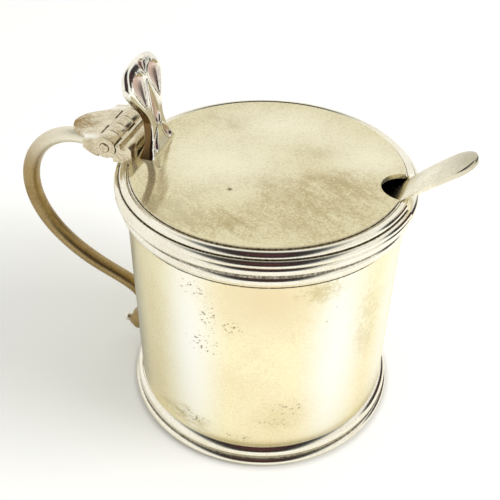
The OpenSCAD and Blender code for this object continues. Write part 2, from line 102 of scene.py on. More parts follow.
class Wire:
    """An output socket. Arithmetic on wires adds Math nodes, and node() adds any other node."""

    def __init__(self, socket):
        self.socket = socket
        self.tree = socket.id_data

    def node(self, kind, settings=None, inputs=None, output=0):
        made = self.tree.nodes.new(kind)
        for key, value in (settings or {}).items():
            if key == "stops":
                self.set_stops(made.color_ramp, value)
            else:
                setattr(made, key, value)
        for key, value in (inputs or {}).items():
            if isinstance(value, Wire):
                self.tree.links.new(value.socket, made.inputs[key])
            else:
                made.inputs[key].default_value = value
        return Wire(made.outputs[output])

    @staticmethod
    def set_stops(ramp, stops):
        while len(ramp.elements) < len(stops):
            ramp.elements.new(1.0)
        for element, (position, colour) in zip(ramp.elements, stops):
            element.position = position
            element.color = colour

    def math(self, operation, first, second):
        return self.node("ShaderNodeMath", {"operation": operation}, {0: first, 1: second})

    def __add__(self, other):
        return self.math("ADD", self, other)

    def __sub__(self, other):
        return self.math("SUBTRACT", self, other)

    def __rsub__(self, other):
        return self.math("SUBTRACT", other, self)

    def __mul__(self, other):
        return self.math("MULTIPLY", self, other)

    __radd__ = __add__
    __rmul__ = __mul__

    def largest(self, other):
        return self.math("MAXIMUM", self, other)

    def rise(self, low, high):
        """0 below low, 1 above high, and a smooth rise between them."""
        settings = {"interpolation_type": "SMOOTHSTEP"}
        inputs = {"Value": self, "From Min": low, "From Max": high}
        return self.node("ShaderNodeMapRange", settings, inputs)

    def between(self, first, second):
        """The first colour where this wire is 0, the second where it is 1."""
        # A Mix node takes its colours at inputs 6 and 7 and gives its colour at output 2
        inputs = {0: self, 6: first, 7: second}
        return self.node("ShaderNodeMix", {"data_type": "RGBA"}, inputs, 2)

    def noise(self, scale, detail=3.0, roughness=0.55):
        inputs = {"Vector": self, "Scale": scale, "Detail": detail, "Roughness": roughness}
        return self.node("ShaderNodeTexNoise", None, inputs)

    def drawn_out(self, size, turn):
        """This place, measured in steps of a size along each axis of a turned frame."""
        inputs = {"Vector": self, "Scale": size, "Rotation": turn}
        return self.node("ShaderNodeMapping", {"vector_type": "TEXTURE"}, inputs)

    def away(self, centre, size):
        """Distance of this place from a centre, 1 on an egg of a given half size along each axis."""
        inputs = {"Vector": self, "Location": centre, "Scale": size}
        steps = self.node("ShaderNodeMapping", {"vector_type": "TEXTURE"}, inputs)
        return steps.node("ShaderNodeVectorMath", {"operation": "LENGTH"}, {0: steps}, "Value")

    def feed(self, shader, name):
        self.tree.links.new(self.socket, shader.inputs[name])


print("wires ready")

# %% [markdown]
# ## Camera
# The photograph was taken from close by, about 16 cm, looking down at the pot from the front. The
# camera stands where the ellipses of the lid and the foot say that it stood.

# %% Place the camera
camera_place = Vector((32.1, -119.7, 130.7)) * mm
camera_aim = Vector((-3.2, 0.0, 34.0)) * mm
camera_roll = math.radians(0.9)
camera_lens = 52.7
camera_near = 10 * mm

scene = bpy.context.scene
camera_data = bpy.data.cameras.new("camera")
camera_data.lens = camera_lens
camera_data.clip_start = camera_near
camera = bpy.data.objects.new("camera", camera_data)
look = (camera_aim - camera_place).to_track_quat("-Z", "Y").to_matrix().to_4x4()
camera.matrix_world = Matrix.Translation(camera_place) @ look @ Matrix.Rotation(camera_roll, 4, "Z")
scene.collection.objects.link(camera)
scene.camera = camera
scene.view_settings.view_transform = "Standard"
print("camera %.0f mm from its aim" % ((camera_aim - camera_place).length / mm))

# %% [markdown]
# ## Studio
# Silver shows little of its own: it shows the room. The room here is a pale floor, white air all round,
# a dark ceiling over the camera and a small dark corner at the back on the right. One large soft lamp
# on the right lays the shadow to the left. The lamp stays out of the reflections, and the ceiling and
# the corner are only in them: they give the round mouldings their dark lines. The floor glows for the
# rays that are seen, so that it comes out white. The glow is less on its shaded side, which paints that
# shadow deeper, and there is none under the foot and in a thin ring round it, a painted contact shadow.

# %% Lay the floor
floor_size = 1.5
floor_colour = (0.86, 0.86, 0.84, 1)
floor_roughness = 0.8
no_glow = (0, 0, 0, 1)
shade_glow = (0.22, 0.225, 0.20, 1)
open_glow = (0.33, 0.33, 0.33, 1)
shade_middle = Vector((-60, 0, 0)) * mm
shade_reach = Vector((100, 58, 100)) * mm
shade_edge = (0.4, 1.0)
contact_shadow_middle = Vector((0, 0, 0))
contact_shadow_reach = Vector((31.4, 31.4, 31.4)) * mm
contact_shadow_edge = (0.94, 1.0)


def new_material(name):
    """A material, its shader, and a wire that gives the place on the piece."""
    material = bpy.data.materials.new(name)
    material.use_nodes = True
    shader = next(n for n in material.node_tree.nodes if n.type == "BSDF_PRINCIPLED")
    place = Wire(material.node_tree.nodes.new("ShaderNodeTexCoord").outputs["Object"])
    return material, shader, place


def new_object(name, bm, material):
    mesh = bpy.data.meshes.new(name)
    bm.to_mesh(mesh)
    bm.free()
    mesh.materials.append(material)
    made = bpy.data.objects.new(name, mesh)
    scene.collection.objects.link(made)
    return made


def seen_rays(tree):
    """1 for rays from the camera, from metal and through glass, and 0 for the rays that light things."""
    path = tree.nodes.new("ShaderNodeLightPath")
    seen = Wire(path.outputs["Is Camera Ray"]).largest(Wire(path.outputs["Is Glossy Ray"]))
    return seen.largest(Wire(path.outputs["Is Transmission Ray"]))


floor_material, floor_shader, floor_place = new_material("floor_paper")
floor_shader.inputs["Roughness"].default_value = floor_roughness
floor_shader.inputs["Base Color"].default_value = floor_colour
floor_shader.inputs["Emission Strength"].default_value = 1.0
# Less glow on the shaded side: a painted deepening of the lamp's shadow
floor_glow = floor_place.away(shade_middle, shade_reach).rise(*shade_edge).between(shade_glow, open_glow)
# No glow under the foot and in a thin ring round it: a painted contact shadow
floor_glow = floor_place.away(contact_shadow_middle, contact_shadow_reach).rise(*contact_shadow_edge).between(no_glow, floor_glow)
seen_rays(floor_material.node_tree).between(no_glow, floor_glow).feed(floor_shader, "Emission Color")
floor_mesh = bmesh.new()
bmesh.ops.create_grid(floor_mesh, x_segments=1, y_segments=1, size=floor_size)
floor = new_object("floor", floor_mesh, floor_material)
print("floor %.1f m wide" % (2 * floor_size))

# %% Hang the lamp
lamp_place = Vector((0.70, 0.05, 0.55))
lamp_size = 0.5
lamp_power = 3.6
lamp_colour = (1.0, 0.98, 0.94)

lamp_data = bpy.data.lights.new("soft_lamp", "AREA")
lamp_data.size = lamp_size
lamp_data.energy = lamp_power
lamp_data.color = lamp_colour
lamp = bpy.data.objects.new("soft_lamp", lamp_data)
lamp_turn = (-lamp_place).to_track_quat("-Z", "Y").to_matrix().to_4x4()
lamp.matrix_world = Matrix.Translation(lamp_place) @ lamp_turn
lamp.visible_glossy = False
scene.collection.objects.link(lamp)
print("lamp %.2f m from the pot" % lamp_place.length)

# %% Fill the air with light, under a dark ceiling
air_light = 0.62
air_colour = (1, 1, 1, 1)
ceiling_lean = math.radians(55)
ceiling_narrow = 0.7
corner_lean = math.radians(15)
corner_turn = math.radians(112)
corner_narrow = 8.0
# Colour of the room in reflections, by degrees away from the middle of the dark ceiling
ceiling_stops = [
    (0, (0.09, 0.035, 0.04, 1)),
    (34, (0.035, 0.022, 0.022, 1)),
    (54, (0.06, 0.06, 0.065, 1)),
    (64, (0.22, 0.24, 0.25, 1)),
    (74, (0.76, 0.76, 0.73, 1)),
    (84, (1.0, 0.99, 0.97, 1)),
]
# After a second bounce on metal the room is mostly pale. Ray Depth is 2 after one bounce, 3 after two
later_depth = (2.0, 3.0)
later_colour = (0.80, 0.77, 0.69, 1)
later_share = 0.75

towards = ((camera_place - camera_aim) * Vector((1, 1, 0))).normalized()
beside = UP.cross(towards)
ceiling_middle = towards * math.cos(ceiling_lean) + UP * math.sin(ceiling_lean)
corner_way = Matrix.Rotation(corner_turn, 3, "Z") @ towards
corner_middle = corner_way * math.cos(corner_lean) + UP * math.sin(corner_lean)
world = bpy.data.worlds.new("white_air")
world.use_nodes = True
scene.world = world
tree = world.node_tree
background = next(n for n in tree.nodes if n.type == "BACKGROUND")
direction = Wire(tree.nodes.new("ShaderNodeTexCoord").outputs["Generated"])


def heading_for(way):
    """1 where a ray heads along a way, and -1 where it heads against it."""
    settings = {"operation": "DOT_PRODUCT"}
    return direction.node("ShaderNodeVectorMath", settings, {0: direction, 1: way}, "Value")


def away_from(way):
    """0 where a ray heads along a way, and 1 where it heads against it."""
    return (1 - heading_for(way)) * 0.5


stops = [((1 - math.cos(math.radians(degrees))) / 2, colour) for degrees, colour in ceiling_stops]
sideways = heading_for(beside)
ceiling_away = away_from(ceiling_middle) + sideways * sideways * ceiling_narrow
corner_away = away_from(corner_middle) * corner_narrow
nearest_away = 1 - (1 - ceiling_away).largest(1 - corner_away)
room = direction.node("ShaderNodeValToRGB", {"stops": stops}, {"Fac": nearest_away})
path = tree.nodes.new("ShaderNodeLightPath")
later = Wire(path.outputs["Ray Depth"]).rise(*later_depth)
room = (later * later_share).between(room, later_colour)
Wire(path.outputs["Is Glossy Ray"]).between(air_colour, room).feed(background, "Color")
(air_light + seen_rays(tree) * (1 - air_light)).feed(background, "Strength")
print("dark ceiling with", len(ceiling_stops), "steps to white")

# %% [markdown]
# ## Finishes
# Old silver is polished where hands and cloths reach, and tarnished where they don't: in sunk lines,
# in pits and in soft brown patches. One function makes every silver finish from a few numbers. Three
# attributes of the pieces steer it: hollow marks sunk lines, tarnish the floors of flutes, and the third
# the narrow sides of a casting, where it paints a dark reflection. A soft tint is a smooth change of
# colour at one place on the pot: most are painted highlights and painted reflections of light and shade,
# a few the metal's own tone. A blot is a ragged stain, and pits are clusters of dark specks. All of them
# are placed by a centre and a half size in millimetres, because they sit where they sit and follow no
# rule.

# %% Grain, clouds and zones
grain_size = 0.45 * mm
noise_mean = 0.5
mottle_size = Vector((4.5, 1.3, 1.3)) * mm
mottle_turn = (0.0, 0.0, -0.6)
cloud_swing = 2.2
mottle_swing = 3.0
grain_swing = 1.3


def zone(place, centre, size, full=0.0):
    """1 round a centre, out to a full share of the half size, fading to 0 at the half size."""
    return 1 - place.away(Vector(centre) * mm, Vector(size) * mm).rise(full, 1.0)


def raggedness(place, cloud, fine):
    """The uneven strength of a stain, 1 on the whole: clouds, slanting streaks and grain."""
    mottle = place.drawn_out(mottle_size, mottle_turn).noise(1.0, detail=4.0, roughness=0.65)
    return (1 + (cloud - noise_mean) * cloud_swing + (mottle - noise_mean) * mottle_swing
            + (fine - noise_mean) * grain_swing)


print("grain of %.2f mm" % (grain_size / mm))

# %% Specks and scratches
stroke_size = Vector((0.9, 0.9, 0.5)) * mm
stroke_turn = (0.0, -0.45, 0.0)
cluster_size = 9 * mm
cluster_edge = (0.45, 0.7)
cluster_share = 0.7
pits_full = 0.3
speck_gain = 0.4
speck_edge = (0.58, 0.63)
long_scratch = Vector((7, 0.14, 0.14)) * mm
long_turn = (0.2, 0.1, 0.6)
long_edge = (0.60, 0.68)
cross_scratch = Vector((0.14, 5, 0.14)) * mm
cross_turn = (0.1, 0.3, 0.3)
cross_edge = (0.62, 0.70)


def specks_of(place, pits):
    """1 on small dark specks, which gather in loose clusters and in the given pits."""
    strokes = place.drawn_out(stroke_size, stroke_turn).noise(1.0, detail=4.0, roughness=0.7)
    cluster = place.noise(1 / cluster_size).rise(*cluster_edge) * cluster_share
    for centre, size in pits:
        cluster = cluster.largest(zone(place, centre, size, pits_full))
    return (strokes * ((1 - speck_gain) + cluster * speck_gain)).rise(*speck_edge)


def scratches_of(place):
    """1 on fine scratches, which run two ways."""
    along = place.drawn_out(long_scratch, long_turn).noise(1.0, detail=2.0)
    across = place.drawn_out(cross_scratch, cross_turn).noise(1.0, detail=2.0)
    return along.rise(*long_edge).largest(across.rise(*cross_edge))


print("specks and scratches defined")

# %% The silver finish
pit_colour = (0.10, 0.06, 0.025, 1)
groove_colour = (0.16, 0.135, 0.10, 1)
flute_colour = (0.64, 0.45, 0.37, 1)
# The colour of the painted dark reflection on a casting's narrow sides
side_shade_colour = (0.17, 0.10, 0.04, 1)
patch_edge = (0.3, 0.8)
blot_edge = (0.2, 1.2)
sunk_edge = (0.2, 1.0)
sunk_least = 0.2
sunk_swing = 1.6
scratch_stain = 0.5
patch_rough = 0.06
scratch_rough = 0.10
sunk_rough = 0.25
speck_rough = 0.2
flute_rough = 0.22
wave_size = 7 * mm
grain_h = 0.012
scratch_depth = 0.012
speck_depth = 0.08
bump_h = 0.1 * mm


def attribute(place, name):
    """A number that each point of a piece carries."""
    return place.node("ShaderNodeAttribute", {"attribute_name": name}, None, "Fac")


def silver(name, clean, stain, gloss, patch_size, stained, speckled, waves,
           grain=0.9, tints_and_painted_light=(), blots=(), pits=(), dull=0.0):
    """Worn silver: two colours, a roughness, the size and share of its stains, and its unevenness."""
    material, shader, place = new_material(name)
    shader.inputs["Metallic"].default_value = 1.0 - dull
    fine = place.noise(1 / grain_size, detail=3.0, roughness=0.6)
    cloud = place.noise(1 / patch_size, detail=6.0, roughness=0.65)
    ragged = raggedness(place, cloud, fine)
    patches = (cloud + (fine - noise_mean) * grain).rise(*patch_edge)
    specks = specks_of(place, pits)
    scratches = scratches_of(place)
    tarnish = attribute(place, "tarnish")
    sunk = (attribute(place, "hollow") * (sunk_least + fine * sunk_swing)).rise(*sunk_edge)

    colour = (patches * stained).between(clean, stain)
    # Soft tints: mostly painted highlights and painted reflections of light and shade, a few real tones
    for centre, size, tint, share in tints_and_painted_light:
        colour = (zone(place, centre, size) * share).between(colour, tint)
    for centre, size, tint, share in blots:
        blot = (zone(place, centre, size) * ragged).rise(*blot_edge)
        colour = (blot * share).between(colour, tint)
    colour = (scratches * scratch_stain * stained).between(colour, stain)
    colour = (specks * speckled).between(colour, pit_colour)
    colour = tarnish.between(colour, flute_colour)
    # A painted dark reflection on the narrow sides of a casting
    colour = attribute(place, "smoke").between(colour, side_shade_colour)
    colour = sunk.between(colour, groove_colour)
    colour.feed(shader, "Base Color")

    rough = (gloss + patches * patch_rough + scratches * scratch_rough + sunk * sunk_rough
             + specks * speck_rough + tarnish * flute_rough)
    rough.feed(shader, "Roughness")
    wave = place.noise(1 / wave_size, detail=2.0) * waves
    height = wave + fine * grain_h - scratches * scratch_depth - specks * speck_depth
    bump = place.node("ShaderNodeBump", None, {"Height": height, "Distance": bump_h, "Strength": 1.0})
    bump.feed(shader, "Normal")
    return material


print("silver finish defined")

# %% Sheet for the wall
white = (1.0, 1.0, 0.93, 1)
peach = (0.87, 0.73, 0.46, 1)
grey_olive = (0.30, 0.275, 0.18, 1)
brown = (0.50, 0.40, 0.10, 1)
# Soft tints and blots: centre, half size, colour and share
wall_tints_and_painted_light = [
    # Three painted highlights: whiter bands where light would shine on the wall
    ((-7, -27, 28), (9, 14, 55), white, 1.0),
    ((20, -19.5, 28), (8.5, 12, 55), white, 1.0),
    ((27.5, -5, 28), (4, 8, 45), white, 0.6),
    # A painted reflection of the shaded floor: the wall's left edge darker olive
    ((-25, -14, 26), (10, 13, 70), grey_olive, 1.0),
    ((8.5, -26.7, 45), (16, 10, 13), peach, 0.95),
    ((11, -25.7, 14), (13, 9, 13), peach, 0.35),
]
wall_blots = [
    ((24.5, -13.5, 34), (6, 9, 18), brown, 0.28),
    ((-9, -26.5, 8), (14, 9, 6), brown, 0.55),
    ((17, -22, 46), (11, 8, 5), brown, 0.5),
    ((11, -25.7, 14), (13, 9, 9), brown, 0.15),
]
# Pits: centre and half size
wall_pits = [
    ((-2.8, -27.9, 40), (4, 5, 12)),
    ((-4, -27.5, 32), (7, 5, 7)),
    ((2, -28, 38), (5, 5, 5)),
    ((12, -25, 16), (8, 5, 5)),
    ((10, -26, 12), (8, 5, 3)),
    ((-8, -27, 9), (9, 6, 4)),
    ((3, -28, 7), (6, 5, 2)),
    ((25, -12.7, 29), (2, 3, 2)),
    ((-6, -27.5, 45), (6, 5, 4)),
]
wall_silver = silver(
    "wall_silver", clean=(0.97, 0.91, 0.62, 1), stain=(0.84, 0.68, 0.38, 1), gloss=0.30,
    patch_size=14 * mm, stained=0.5, speckled=0.85, waves=0.3, grain=1.3,
    tints_and_painted_light=wall_tints_and_painted_light, blots=wall_blots, pits=wall_pits)
print("wall finish with", len(wall_tints_and_painted_light), "sheens,", len(wall_blots), "blots and", len(wall_pits), "pits")

# %% Sheet for the lid
cream = (1.0, 0.96, 0.74, 1)
olive = (0.60, 0.54, 0.33, 1)
drab = (0.45, 0.36, 0.17, 1)
lid_tints_and_highlight = [
    # Cleaner metal at the left and the back of the lid
    ((-9, -2, 58), (22, 18, 6), cream, 0.9),
    ((-1, 16, 58), (24, 13, 6), cream, 0.9),
    # A painted highlight on the right of the lid
    ((19, 8, 58), (14, 13, 6), cream, 0.9),
    ((-4.1, -10.9, 56.2), (0.8, 0.8, 4), pit_colour, 1.0),
]
lid_blots = [
    ((-13.2, 13.5, 58), (12, 8, 6), olive, 0.6),
    ((14, -9, 58), (28, 20, 6), drab, 0.65),
    ((17, -2, 58), (15, 11, 6), drab, 0.45),
    ((-3, -22, 58), (19, 10, 6), drab, 0.8),
    ((-13, -20, 58), (18, 13, 6), olive, 1.0),
]
lid_silver = silver(
    "lid_silver", clean=(0.80, 0.74, 0.48, 1), stain=(0.54, 0.45, 0.24, 1), gloss=0.05,
    patch_size=11 * mm, stained=0.85, speckled=0.6, waves=0.12, grain=1.1,
    tints_and_painted_light=lid_tints_and_highlight, blots=lid_blots, dull=0.28)
print("lid finish with", len(lid_tints_and_highlight), "sheens and", len(lid_blots), "blots")

# %% Wires, castings, hinge and spoon
pale = (1.0, 0.96, 0.80, 1)
dark_brown = (0.30, 0.20, 0.06, 1)
handle_tints_and_highlights = [
    # A painted highlight along the top of the handle
    ((-40, 0, 54), (22, 10, 12), pale, 0.95),
    # The tail darker brown
    ((-31, 0, 6), (4.5, 6, 7), dark_brown, 0.6),
    # A painted highlight on the ball at the tail's end
    ((-35.2, 0, 5.8), (2.6, 3, 3), white, 1.0),
]
# Painted highlights: white strips along the bracket's top edges
hinge_painted_highlights = [((-37, side * 6.4, 59), (9, 1.6, 3), white, 1.0) for side in (-1, 1)]
hinge_blots = [((-40.5, -1, 58), (9, 9, 8), dark_brown, 1.0)]
# The stem darker towards its end
spoon_tints = [((38, 0, 65), (10, 9, 9), grey_olive, 0.6)]

wire_silver = silver(
    "wire_silver", clean=(0.93, 0.90, 0.79, 1), stain=(0.75, 0.66, 0.45, 1), gloss=0.10,
    patch_size=8 * mm, stained=0.5, speckled=0.2, waves=0.1)
cast_silver = silver(
    "cast_silver", clean=(0.96, 0.94, 0.85, 1), stain=(0.62, 0.54, 0.40, 1), gloss=0.09,
    patch_size=4 * mm, stained=0.5, speckled=0.2, waves=0.15)
handle_silver = silver(
    "handle_silver", clean=(0.42, 0.31, 0.145, 1), stain=(0.25, 0.155, 0.05, 1), gloss=0.36,
    patch_size=8 * mm, stained=0.7, speckled=0.2, waves=0.2, tints_and_painted_light=handle_tints_and_highlights)
hinge_silver = silver(
    "hinge_silver", clean=(0.78, 0.71, 0.53, 1), stain=(0.40, 0.31, 0.17, 1), gloss=0.18,
    patch_size=2.5 * mm, stained=0.7, speckled=0.7, waves=0.5, tints_and_painted_light=hinge_painted_highlights, blots=hinge_blots)
spoon_silver = silver(
    "spoon_silver", clean=(0.93, 0.88, 0.71, 1), stain=(0.62, 0.56, 0.41, 1), gloss=0.17,
    patch_size=5 * mm, stained=0.6, speckled=0.3, waves=0.3, tints_and_painted_light=spoon_tints)
print("other silver finishes made")

# %% The glass finish
deep_blue = (0.02, 0.05, 0.45, 1)
light_blue = (0.05, 0.12, 0.62, 1)
streak_size = 14 * mm
streak_edge = (0.3, 0.7)
haze_size = 3 * mm
haze_least = 0.02
haze_swing = 0.05

blue_glass, glass_shader, glass_place = new_material("blue_glass")
glass_shader.inputs["Transmission Weight"].default_value = 1.0
glass_shader.inputs["IOR"].default_value = 1.5
streaks = glass_place.noise(1 / streak_size).rise(*streak_edge)
streaks.between(deep_blue, light_blue).feed(glass_shader, "Base Color")
(haze_least + glass_place.noise(1 / haze_size) * haze_swing).feed(glass_shader, "Roughness")
print("glass finish made")

# %% [markdown]
# ## Tools for pieces
# Most of the pot is turned or swept. An outline of arcs, spun about an axis, gives every wire, tube
# and ring. A bar, a casting or a spoon is a grid wrapped round: each point of the grid goes where a
# formula of its place along and round the piece puts it. A Boolean cut makes the notch and slots.

# %% Outlines and spins
weld = 0.001 * mm
ring_steps = 256


def arc(centre, radius, start, end, steps=12):
    """Points round part of a circle, from one angle to another in degrees."""
    turns = [math.radians(start + (end - start) * i / steps) for i in range(steps + 1)]
    return [(centre[0] + radius * math.cos(t), centre[1] + radius * math.sin(t)) for t in turns]


def smooth(t):
    """0 to 1 with a soft start and a soft end."""
    t = min(max(t, 0), 1)
    return t * t * (3 - 2 * t)


def spun(outline, centre=Vector(), axis=UP, closed=True, steps=ring_steps):
    """An outline of (radius, height) points, turned all the way about an axis."""
    bm = bmesh.new()
    corners = [bm.verts.new(centre + Vector((r, 0, 0)) + axis * h) for r, h in outline]
    partners = corners[1:] + corners[:1] if closed else corners[1:]
    sides = [bm.edges.new(pair) for pair in zip(corners, partners)]
    bmesh.ops.spin(bm, geom=corners + sides, cent=centre, axis=axis, angle=math.tau,
                   steps=steps, use_merge=True)
    return bm


print("rings have", ring_steps, "steps")

# %% Wraps, drawn faces and cuts


def wrapped(place, rows, sides):
    """A closed skin: each point of a grid goes to place(along, round), which both run from 0 to 1."""
    bm = bmesh.new()
    bmesh.ops.create_grid(bm, x_segments=rows, y_segments=sides, size=0.5)
    for vertex in bm.verts:
        vertex.co = place(vertex.co.x + 0.5, vertex.co.y + 0.5)
    bmesh.ops.remove_doubles(bm, verts=bm.verts, dist=weld)
    bmesh.ops.holes_fill(bm, edges=[e for e in bm.edges if e.is_boundary], sides=0)
    return bm


def drawn(corners, way):
    """A flat face between corners, drawn out along a way."""
    bm = bmesh.new()
    face = bm.faces.new([bm.verts.new(corner) for corner in corners])
    grown = bmesh.ops.extrude_face_region(bm, geom=[face])["geom"]
    moved = [g for g in grown if isinstance(g, bmesh.types.BMVert)]
    bmesh.ops.translate(bm, verts=moved, vec=way)
    return bm


def raised(outline, height, start):
    """A flat outline of (x, y) points drawn out upwards from a start height."""
    return drawn([(x, y, start) for x, y in outline], UP * height)


def tidy(bm):
    bmesh.ops.remove_doubles(bm, verts=bm.verts, dist=weld)
    bmesh.ops.dissolve_degenerate(bm, edges=bm.edges, dist=weld)
    bmesh.ops.recalc_face_normals(bm, faces=bm.faces)


def carved(bm, cutter):
    """One mesh with another cut out of it. The two objects go again, so any finish does for them."""
    tidy(bm)
    tidy(cutter)
    block = new_object("block", bm, hinge_silver)
    tool = new_object("tool", cutter, hinge_silver)
    cut = block.modifiers.new("cut", "BOOLEAN")
    cut.object = tool
    cut.solver = "EXACT"
    bpy.context.view_layer.update()
    result = bmesh.new()
    result.from_object(block, bpy.context.evaluated_depsgraph_get())
    for spare in (block, tool):
        bpy.data.meshes.remove(spare.data)
    return result


print("tools ready")

# %% [markdown]
# ## From mesh to piece
# A finished mesh gets smooth faces with sharp edges kept sharp, and the hollow attribute: at each
# point, how strongly the surface bends inwards there. Polishing cloths miss such places, so the
# silver finish darkens them. A piece can bring marks of its own, as functions of a point.

# %% Finish a piece
sharp_angle = math.radians(38)
hollow_size = 0.35 * mm
hollow_passes = 2
hollow_spread = 0.45


def hollow_of(vertex):
    """How far the surface bends inwards at a point, about 1 where it bends as tightly as a sunk line."""
    bends = []
    for edge in vertex.link_edges:
        arm = edge.other_vert(vertex).co - vertex.co
        bends.append(2 * vertex.normal.dot(arm) / max(arm.length_squared, weld ** 2))
    return min(max(sum(bends) / len(bends) * hollow_size, 0), 1) if bends else 0


def near_points(vertex):
    """Which points short edges join to a point."""
    return [e.other_vert(vertex).index for e in vertex.link_edges if e.calc_length() < hollow_size]


def hollows_of(bm):
    """The hollow of each point, spread a little to the points beside it."""
    hollows = [hollow_of(v) for v in bm.verts]
    around = [near_points(v) for v in bm.verts]
    for _ in range(hollow_passes):
        spread = [hollow_spread * max((hollows[k] for k in near), default=0) for near in around]
        hollows = [max(pair) for pair in zip(hollows, spread)]
    return hollows


def piece(name, bm, body, material, marks=None):
    """A mesh made into an object that rides on a body and stands for the solid of its name."""
    tidy(bm)
    bm.normal_update()
    bm.verts.ensure_lookup_table()
    attributes = {"hollow": hollows_of(bm)}
    for key, mark in (marks or {}).items():
        attributes[key] = [mark(v.co) for v in bm.verts]
    for face in bm.faces:
        face.smooth = True
    made = new_object(name, bm, material)
    made.data.set_sharp_from_angle(angle=sharp_angle)
    for key, values in attributes.items():
        made.data.attributes.new(key, "FLOAT", "POINT").data.foreach_set("value", values)
    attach(made, body)
    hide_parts(name.removesuffix("_shape"))
    print(name, "has", len(made.data.polygons), "faces")
    return made


# %% [markdown]
# ## Drum wall and base
# The drum is sheet rolled round and soldered, with a flat base let in above the foot. Both are turned
# outlines. The wall's edges are eased a little, because a knife edge would catch no light. One fine
# groove round the wall just below the rim's wire darkens in its hollow: it paints the shade under the wire.

# %% Turn the drum wall
edge_ease = 0.12 * mm
corner_steps = 4
line_r = 0.14 * mm
line_out = 0.05 * mm
line_guard = 0.5 * mm
line_drop = 5.9 * mm


def eased_box(inner, outer, low, high, ease=edge_ease):
    """A rectangle's outline with round corners, for spinning. It starts at the low outer corner."""
    return (arc((outer - ease, low + ease), ease, -90, 0, corner_steps)
            + arc((outer - ease, high - ease), ease, 0, 90, corner_steps)
            + arc((inner + ease, high - ease), ease, 90, 180, corner_steps)
            + arc((inner + ease, low + ease), ease, 180, 270, corner_steps))


def shade_groove(z):
    """A round-bottomed groove cut into the wall, as points upwards along its outside. It paints a shade
    line.
    """
    half_turn = math.degrees(math.acos(line_out / line_r))
    line = arc((drum_r + line_out, z), line_r, 180 + half_turn, 180 - half_turn, 8)
    return [(drum_r, z - line_guard)] + line + [(drum_r, z + line_guard)]


after_corner = corner_steps + 1
wall_outline = eased_box(inner_r, drum_r, 0, pot_h)
# A dark groove just below the rim's wire: painted shade under the wire
wall_outline[after_corner:after_corner] = shade_groove(pot_h - line_drop)
piece("drum_wall_shape", spun(wall_outline), "pot", wall_silver)

# %% Turn the base plate
base_outline = [(0, base_under), (inner_r, base_under), (inner_r, base_top), (0, base_top)]
piece("base_plate_shape", spun(base_outline, closed=False), "pot", wall_silver)

# %% [markdown]
# ## Reeded wires
# Each moulding is a wire drawn with two round reeds and a sunk line between them, soldered to the
# wall. Foot and rim are the same outline with other sizes, and the rim's is turned upside down.

# %% Turn the foot and rim mouldings


def moulding(edge_r, second_r, line, edge_proud, second_proud, sunk_t):
    """Half section from the wall's end outwards and back to the wall, with heights from 0.

    Two reeds of a radius each stand a line apart and are proud of the wall. The sunk line between
    them leaves sunk_t of wire on the wall.
    """
    edge_x = edge_proud - edge_r
    second_x = second_proud - second_r
    second_z = 2 * edge_r + line + second_r
    notch = math.degrees(math.acos((sunk_t - edge_x) / edge_r))
    bite = math.degrees(math.acos((sunk_t - second_x) / second_r))
    meet = math.degrees(math.acos(-second_x / second_r))
    section = ([(0, 0)]
               + arc((edge_x, edge_r), edge_r, -90, notch, 20)
               + arc((second_x, second_z), second_r, -bite, meet, 28))
    return [(drum_r + out, z) for out, z in section]


foot_outline = moulding(edge_r=0.9 * mm, second_r=1.45 * mm, line=0,
                        edge_proud=1.85 * mm, second_proud=1.3 * mm, sunk_t=1.15 * mm)
rim_outline = moulding(edge_r=1.05 * mm, second_r=1.1 * mm, line=0.75 * mm,
                       edge_proud=2.0 * mm, second_proud=1.2 * mm, sunk_t=0.8 * mm)
rim_outline = [(r, pot_h - z) for r, z in rim_outline]
piece("foot_moulding_shape", spun(foot_outline), "pot", wire_silver)
piece("rim_moulding_shape", spun(rim_outline), "pot", wire_silver)

# %% [markdown]
# ## Glass liner
# Mustard eats silver, so it sits in a cup of blue glass. The cup is one turned outline: up the
# outside, over a rounded lip and down the inside.

# %% Turn the liner
liner_r = highest("glass_liner").x
liner_top = highest("glass_liner").z
liner_t = 1.6 * mm
liner_floor_t = 2.2 * mm
liner_floor = base_top + liner_floor_t
outer_corner = 2 * liner_t
inner_corner = outer_corner - liner_t / 2
liner_in = liner_r - liner_t
liner_outline = ([(0, base_top)]
                 + arc((liner_r - outer_corner, base_top + outer_corner), outer_corner, -90, 0)
                 + arc((liner_r - liner_t / 2, liner_top - liner_t / 2), liner_t / 2, 0, 180)
                 + arc((liner_in - inner_corner, liner_floor + inner_corner), inner_corner, 0, -90)
                 + [(0, liner_floor)])
piece("glass_liner_shape", spun(liner_outline, closed=False), "pot", blue_glass)

# %% [markdown]
# ## Lid
# The lid is a flat disc with a reeded wire round it. The notch for the spoon is sawn through both, so
# one cutter with a round end and a flared mouth cuts both pieces. The wire is a round reed with a
# lower bead outside it. A sunk line parts the reed from the plate, and another parts it from the bead.

# %% Saw the notch from the plate
notch_len = 7.5 * mm
notch_half = 4.75 * mm
mouth_half = 6.6 * mm
saw_over = 1 * mm
notch_in = lid_r - notch_len


def notch_cutter():
    outline = (arc((notch_in + notch_half, 0), notch_half, 90, 270, 32)
               + [(plate_r, -notch_half), (lid_r, -mouth_half), (lid_r + saw_over, -mouth_half),
                  (lid_r + saw_over, mouth_half), (lid_r, mouth_half), (plate_r, notch_half)])
    return raised(outline, lid_top - lid_under + 2 * saw_over, lid_under - saw_over)


plate_outline = arc((0, 0), plate_r, 0, 360, ring_steps)[:-1]
lid_plate = carved(raised(plate_outline, lid_top - plate_under, plate_under), notch_cutter())
piece("lid_plate_shape", lid_plate, "lid", lid_silver)

